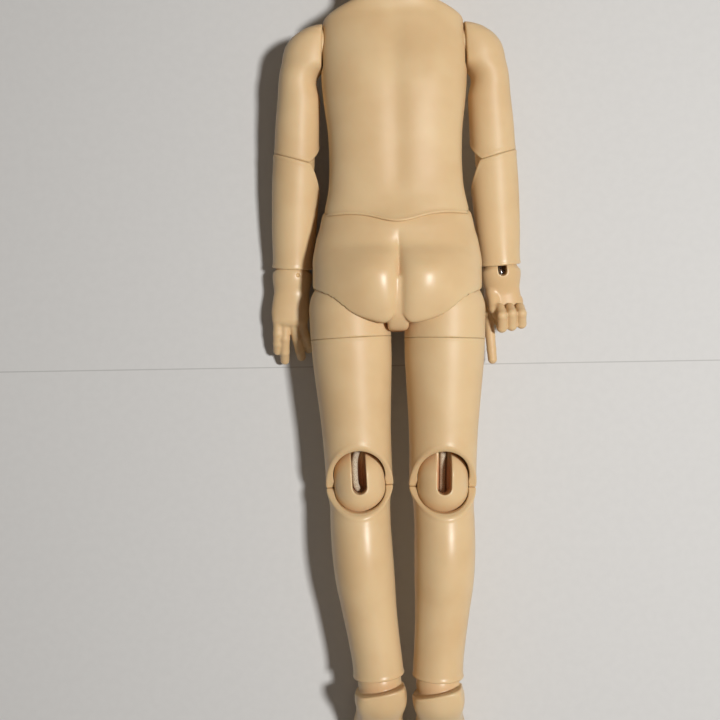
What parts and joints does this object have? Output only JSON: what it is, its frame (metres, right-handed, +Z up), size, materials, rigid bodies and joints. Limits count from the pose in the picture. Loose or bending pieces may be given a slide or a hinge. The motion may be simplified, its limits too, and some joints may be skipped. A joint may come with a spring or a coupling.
{
  "type": "ball jointed doll",
  "caption": "Small strung doll of hollow cast resin pieces with ball joints at waist, neck, shoulders, elbows, wrists, hips, knees and ankles, lying on its front.",
  "frame": {"origin": "on the floor plane, under the middle of the whole doll as it lies on its front", "axes": "+Y from the feet to the head, +Z up from the front of the doll to its back, +X towards its right hand"},
  "size_m": [0.1168, 0.4248, 0.0748],
  "materials": {
    "resin": "cast resin, unpainted, semi-gloss",
    "elastic": "round braided elastic, woven cover",
    "steel": "bent steel wire and rod, plain",
    "magnet": "plated disc magnet"
  },
  "bodies": {
    "torso": {"upper_torso": "resin", "body_elastic": "elastic", "chest_elastic": "elastic"},
    "head": {"head": "resin", "head_magnet_front": "magnet", "head_magnet_rear": "magnet"},
    "head_cap": {"head_cap": "resin", "cap_magnet_front": "magnet", "cap_magnet_rear": "magnet"},
    "neck_hook": {"neck_hook": "steel"},
    "left_upper_arm": {"left_upper_arm": "resin", "left_arm_elastic": "elastic"},
    "left_elbow": {"left_elbow_joint": "resin", "left_elbow_elastic": "elastic"},
    "left_forearm": {"left_forearm": "resin", "left_forearm_elastic": "elastic"},
    "left_wrist_hook": {"left_wrist_hook": "steel"},
    "left_hand": {"left_hand": "resin", "left_hand_pin": "steel"},
    "right_upper_arm": {"right_upper_arm": "resin", "right_arm_elastic": "elastic"},
    "right_elbow": {"right_elbow_joint": "resin", "right_elbow_elastic": "elastic"},
    "right_forearm": {"right_forearm": "resin", "right_forearm_elastic": "elastic"},
    "right_wrist_hook": {"right_wrist_hook": "steel"},
    "right_hand": {"right_hand": "resin", "right_hand_pin": "steel"},
    "lower_torso": {"lower_torso": "resin", "left_pelvis_elastic": "elastic", "right_pelvis_elastic": "elastic"},
    "left_hip": {"left_hip_joint": "resin"},
    "left_thigh": {"left_thigh": "resin", "left_thigh_elastic": "elastic"},
    "left_knee": {"left_knee_joint": "resin", "left_knee_elastic": "elastic"},
    "left_shin": {"left_shin": "resin", "left_shin_elastic": "elastic"},
    "left_ankle_hook": {"left_ankle_hook": "steel"},
    "left_foot": {"left_foot": "resin", "left_foot_pin": "steel"},
    "right_hip": {"right_hip_joint": "resin"},
    "right_thigh": {"right_thigh": "resin", "right_thigh_elastic": "elastic"},
    "right_knee": {"right_knee_joint": "resin", "right_knee_elastic": "elastic"},
    "right_shin": {"right_shin": "resin", "right_shin_elastic": "elastic"},
    "right_ankle_hook": {"right_ankle_hook": "steel"},
    "right_foot": {"right_foot": "resin", "right_foot_pin": "steel"}
  },
  "joints": [
    {"name": "neck_turn", "type": "hinge", "parent": "torso", "child": "neck_hook", "pos_m": [-0.00342, 0.15188, 0.03036], "axis": [-0.0192, 0.9998, 0], "range_deg": [-60, 60]},
    {"name": "head_nod", "type": "hinge", "parent": "neck_hook", "child": "head", "pos_m": [-0.00342, 0.15188, 0.03036], "axis": [-0.9998, -0.0192, 0], "range_deg": [-5, 33]},
    {"name": "head_cap_lift", "type": "slide", "parent": "head", "child": "head_cap", "axis": [-0.0072, 0.3745, 0.9272], "range_m": [0, 0.03]},
    {"name": "left_shoulder_swing", "type": "hinge", "parent": "torso", "child": "left_upper_arm", "pos_m": [-0.03426, 0.11728, 0.02616], "axis": [0.9998, 0.0192, 0], "range_deg": [-40, 95]},
    {"name": "left_elbow_upper", "type": "hinge", "parent": "left_upper_arm", "child": "left_elbow", "pos_m": [-0.04653, 0.07058, 0.01921], "axis": [0.7211, -0.1199, 0.6824], "range_deg": [0, 38]},
    {"name": "left_elbow_lower", "type": "hinge", "parent": "left_elbow", "child": "left_forearm", "pos_m": [-0.04665, 0.06564, 0.01847], "axis": [0.7211, -0.1199, 0.6824], "range_deg": [0, 38]},
    {"name": "left_wrist_turn", "type": "hinge", "parent": "left_forearm", "child": "left_wrist_hook", "pos_m": [-0.04895, 0.01584, 0.01104], "axis": [0.0456, 0.988, 0.1475], "range_deg": [-40, 60]},
    {"name": "left_hand_bend", "type": "hinge", "parent": "left_wrist_hook", "child": "left_hand", "pos_m": [-0.04895, 0.01584, 0.01104], "axis": [0.999, -0.0447, -0.0095], "range_deg": [-30, 50]},
    {"name": "right_shoulder_swing", "type": "hinge", "parent": "torso", "child": "right_upper_arm", "pos_m": [0.02872, 0.11849, 0.02616], "axis": [-0.9998, -0.0192, 0], "range_deg": [-95, 40]},
    {"name": "right_elbow_upper", "type": "hinge", "parent": "right_upper_arm", "child": "right_elbow", "pos_m": [0.04269, 0.07216, 0.02002], "axis": [-0.7163, -0.1343, 0.6848], "range_deg": [-38, 0]},
    {"name": "right_elbow_lower", "type": "hinge", "parent": "right_elbow", "child": "right_forearm", "pos_m": [0.043, 0.06721, 0.01937], "axis": [-0.7163, -0.1343, 0.6848], "range_deg": [-38, 0]},
    {"name": "right_wrist_turn", "type": "hinge", "parent": "right_forearm", "child": "right_wrist_hook", "pos_m": [0.04721, 0.01742, 0.0128], "axis": [-0.0835, 0.988, 0.1303], "range_deg": [-40, 60]},
    {"name": "right_hand_bend", "type": "hinge", "parent": "right_wrist_hook", "child": "right_hand", "pos_m": [0.04721, 0.01742, 0.0128], "axis": [-0.9965, -0.0831, -0.0084], "range_deg": [-30, 50]},
    {"name": "waist_bend", "type": "hinge", "parent": "torso", "child": "lower_torso", "pos_m": [-0.00104, 0.0279, 0.02306], "axis": [0.9998, 0.0192, 0], "range_deg": [-8, 8]},
    {"name": "left_hip_swing", "type": "hinge", "parent": "lower_torso", "child": "left_hip", "pos_m": [-0.02244, -0.0011, 0.02716], "axis": [1, 0, 0], "range_deg": [-4, 75]},
    {"name": "left_thigh_turn", "type": "hinge", "parent": "left_hip", "child": "left_thigh", "pos_m": [-0.02244, -0.0011, 0.02716], "axis": [0.0593, -0.9982, 0], "range_deg": [-24, 4]},
    {"name": "left_knee_upper", "type": "hinge", "parent": "left_thigh", "child": "left_knee", "pos_m": [-0.0181, -0.07427, 0.02716], "axis": [-0.9982, -0.0593, 0], "range_deg": [0, 45]},
    {"name": "left_knee_lower", "type": "hinge", "parent": "left_knee", "child": "left_shin", "pos_m": [-0.01772, -0.08056, 0.02716], "axis": [-0.9982, -0.0593, 0], "range_deg": [0, 45]},
    {"name": "left_ankle_turn", "type": "hinge", "parent": "left_shin", "child": "left_ankle_hook", "pos_m": [-0.00897, -0.16672, 0.02716], "axis": [-0.1011, 0.9949, 0], "range_deg": [-6, 30]},
    {"name": "left_foot_bend", "type": "hinge", "parent": "left_ankle_hook", "child": "left_foot", "pos_m": [-0.00897, -0.16672, 0.02716], "axis": [0.9949, 0.1011, 0], "range_deg": [-6, 43]},
    {"name": "right_hip_swing", "type": "hinge", "parent": "lower_torso", "child": "right_hip", "pos_m": [0.02036, -0.0011, 0.02716], "axis": [1, 0, 0], "range_deg": [-4, 75]},
    {"name": "right_thigh_turn", "type": "hinge", "parent": "right_hip", "child": "right_thigh", "pos_m": [0.02036, -0.0011, 0.02716], "axis": [0.014, 0.9999, 0], "range_deg": [-24, 4]},
    {"name": "right_knee_upper", "type": "hinge", "parent": "right_thigh", "child": "right_knee", "pos_m": [0.01933, -0.07439, 0.02716], "axis": [-0.9999, 0.014, 0], "range_deg": [0, 45]},
    {"name": "right_knee_lower", "type": "hinge", "parent": "right_knee", "child": "right_shin", "pos_m": [0.01925, -0.08069, 0.02716], "axis": [-0.9999, 0.014, 0], "range_deg": [0, 45]},
    {"name": "right_ankle_turn", "type": "hinge", "parent": "right_shin", "child": "right_ankle_hook", "pos_m": [0.01713, -0.16727, 0.02716], "axis": [-0.0244, -0.9997, 0], "range_deg": [-6, 30]},
    {"name": "right_foot_bend", "type": "hinge", "parent": "right_ankle_hook", "child": "right_foot", "pos_m": [0.01713, -0.16727, 0.02716], "axis": [0.9997, -0.0244, 0], "range_deg": [-6, 43]}
  ]
}
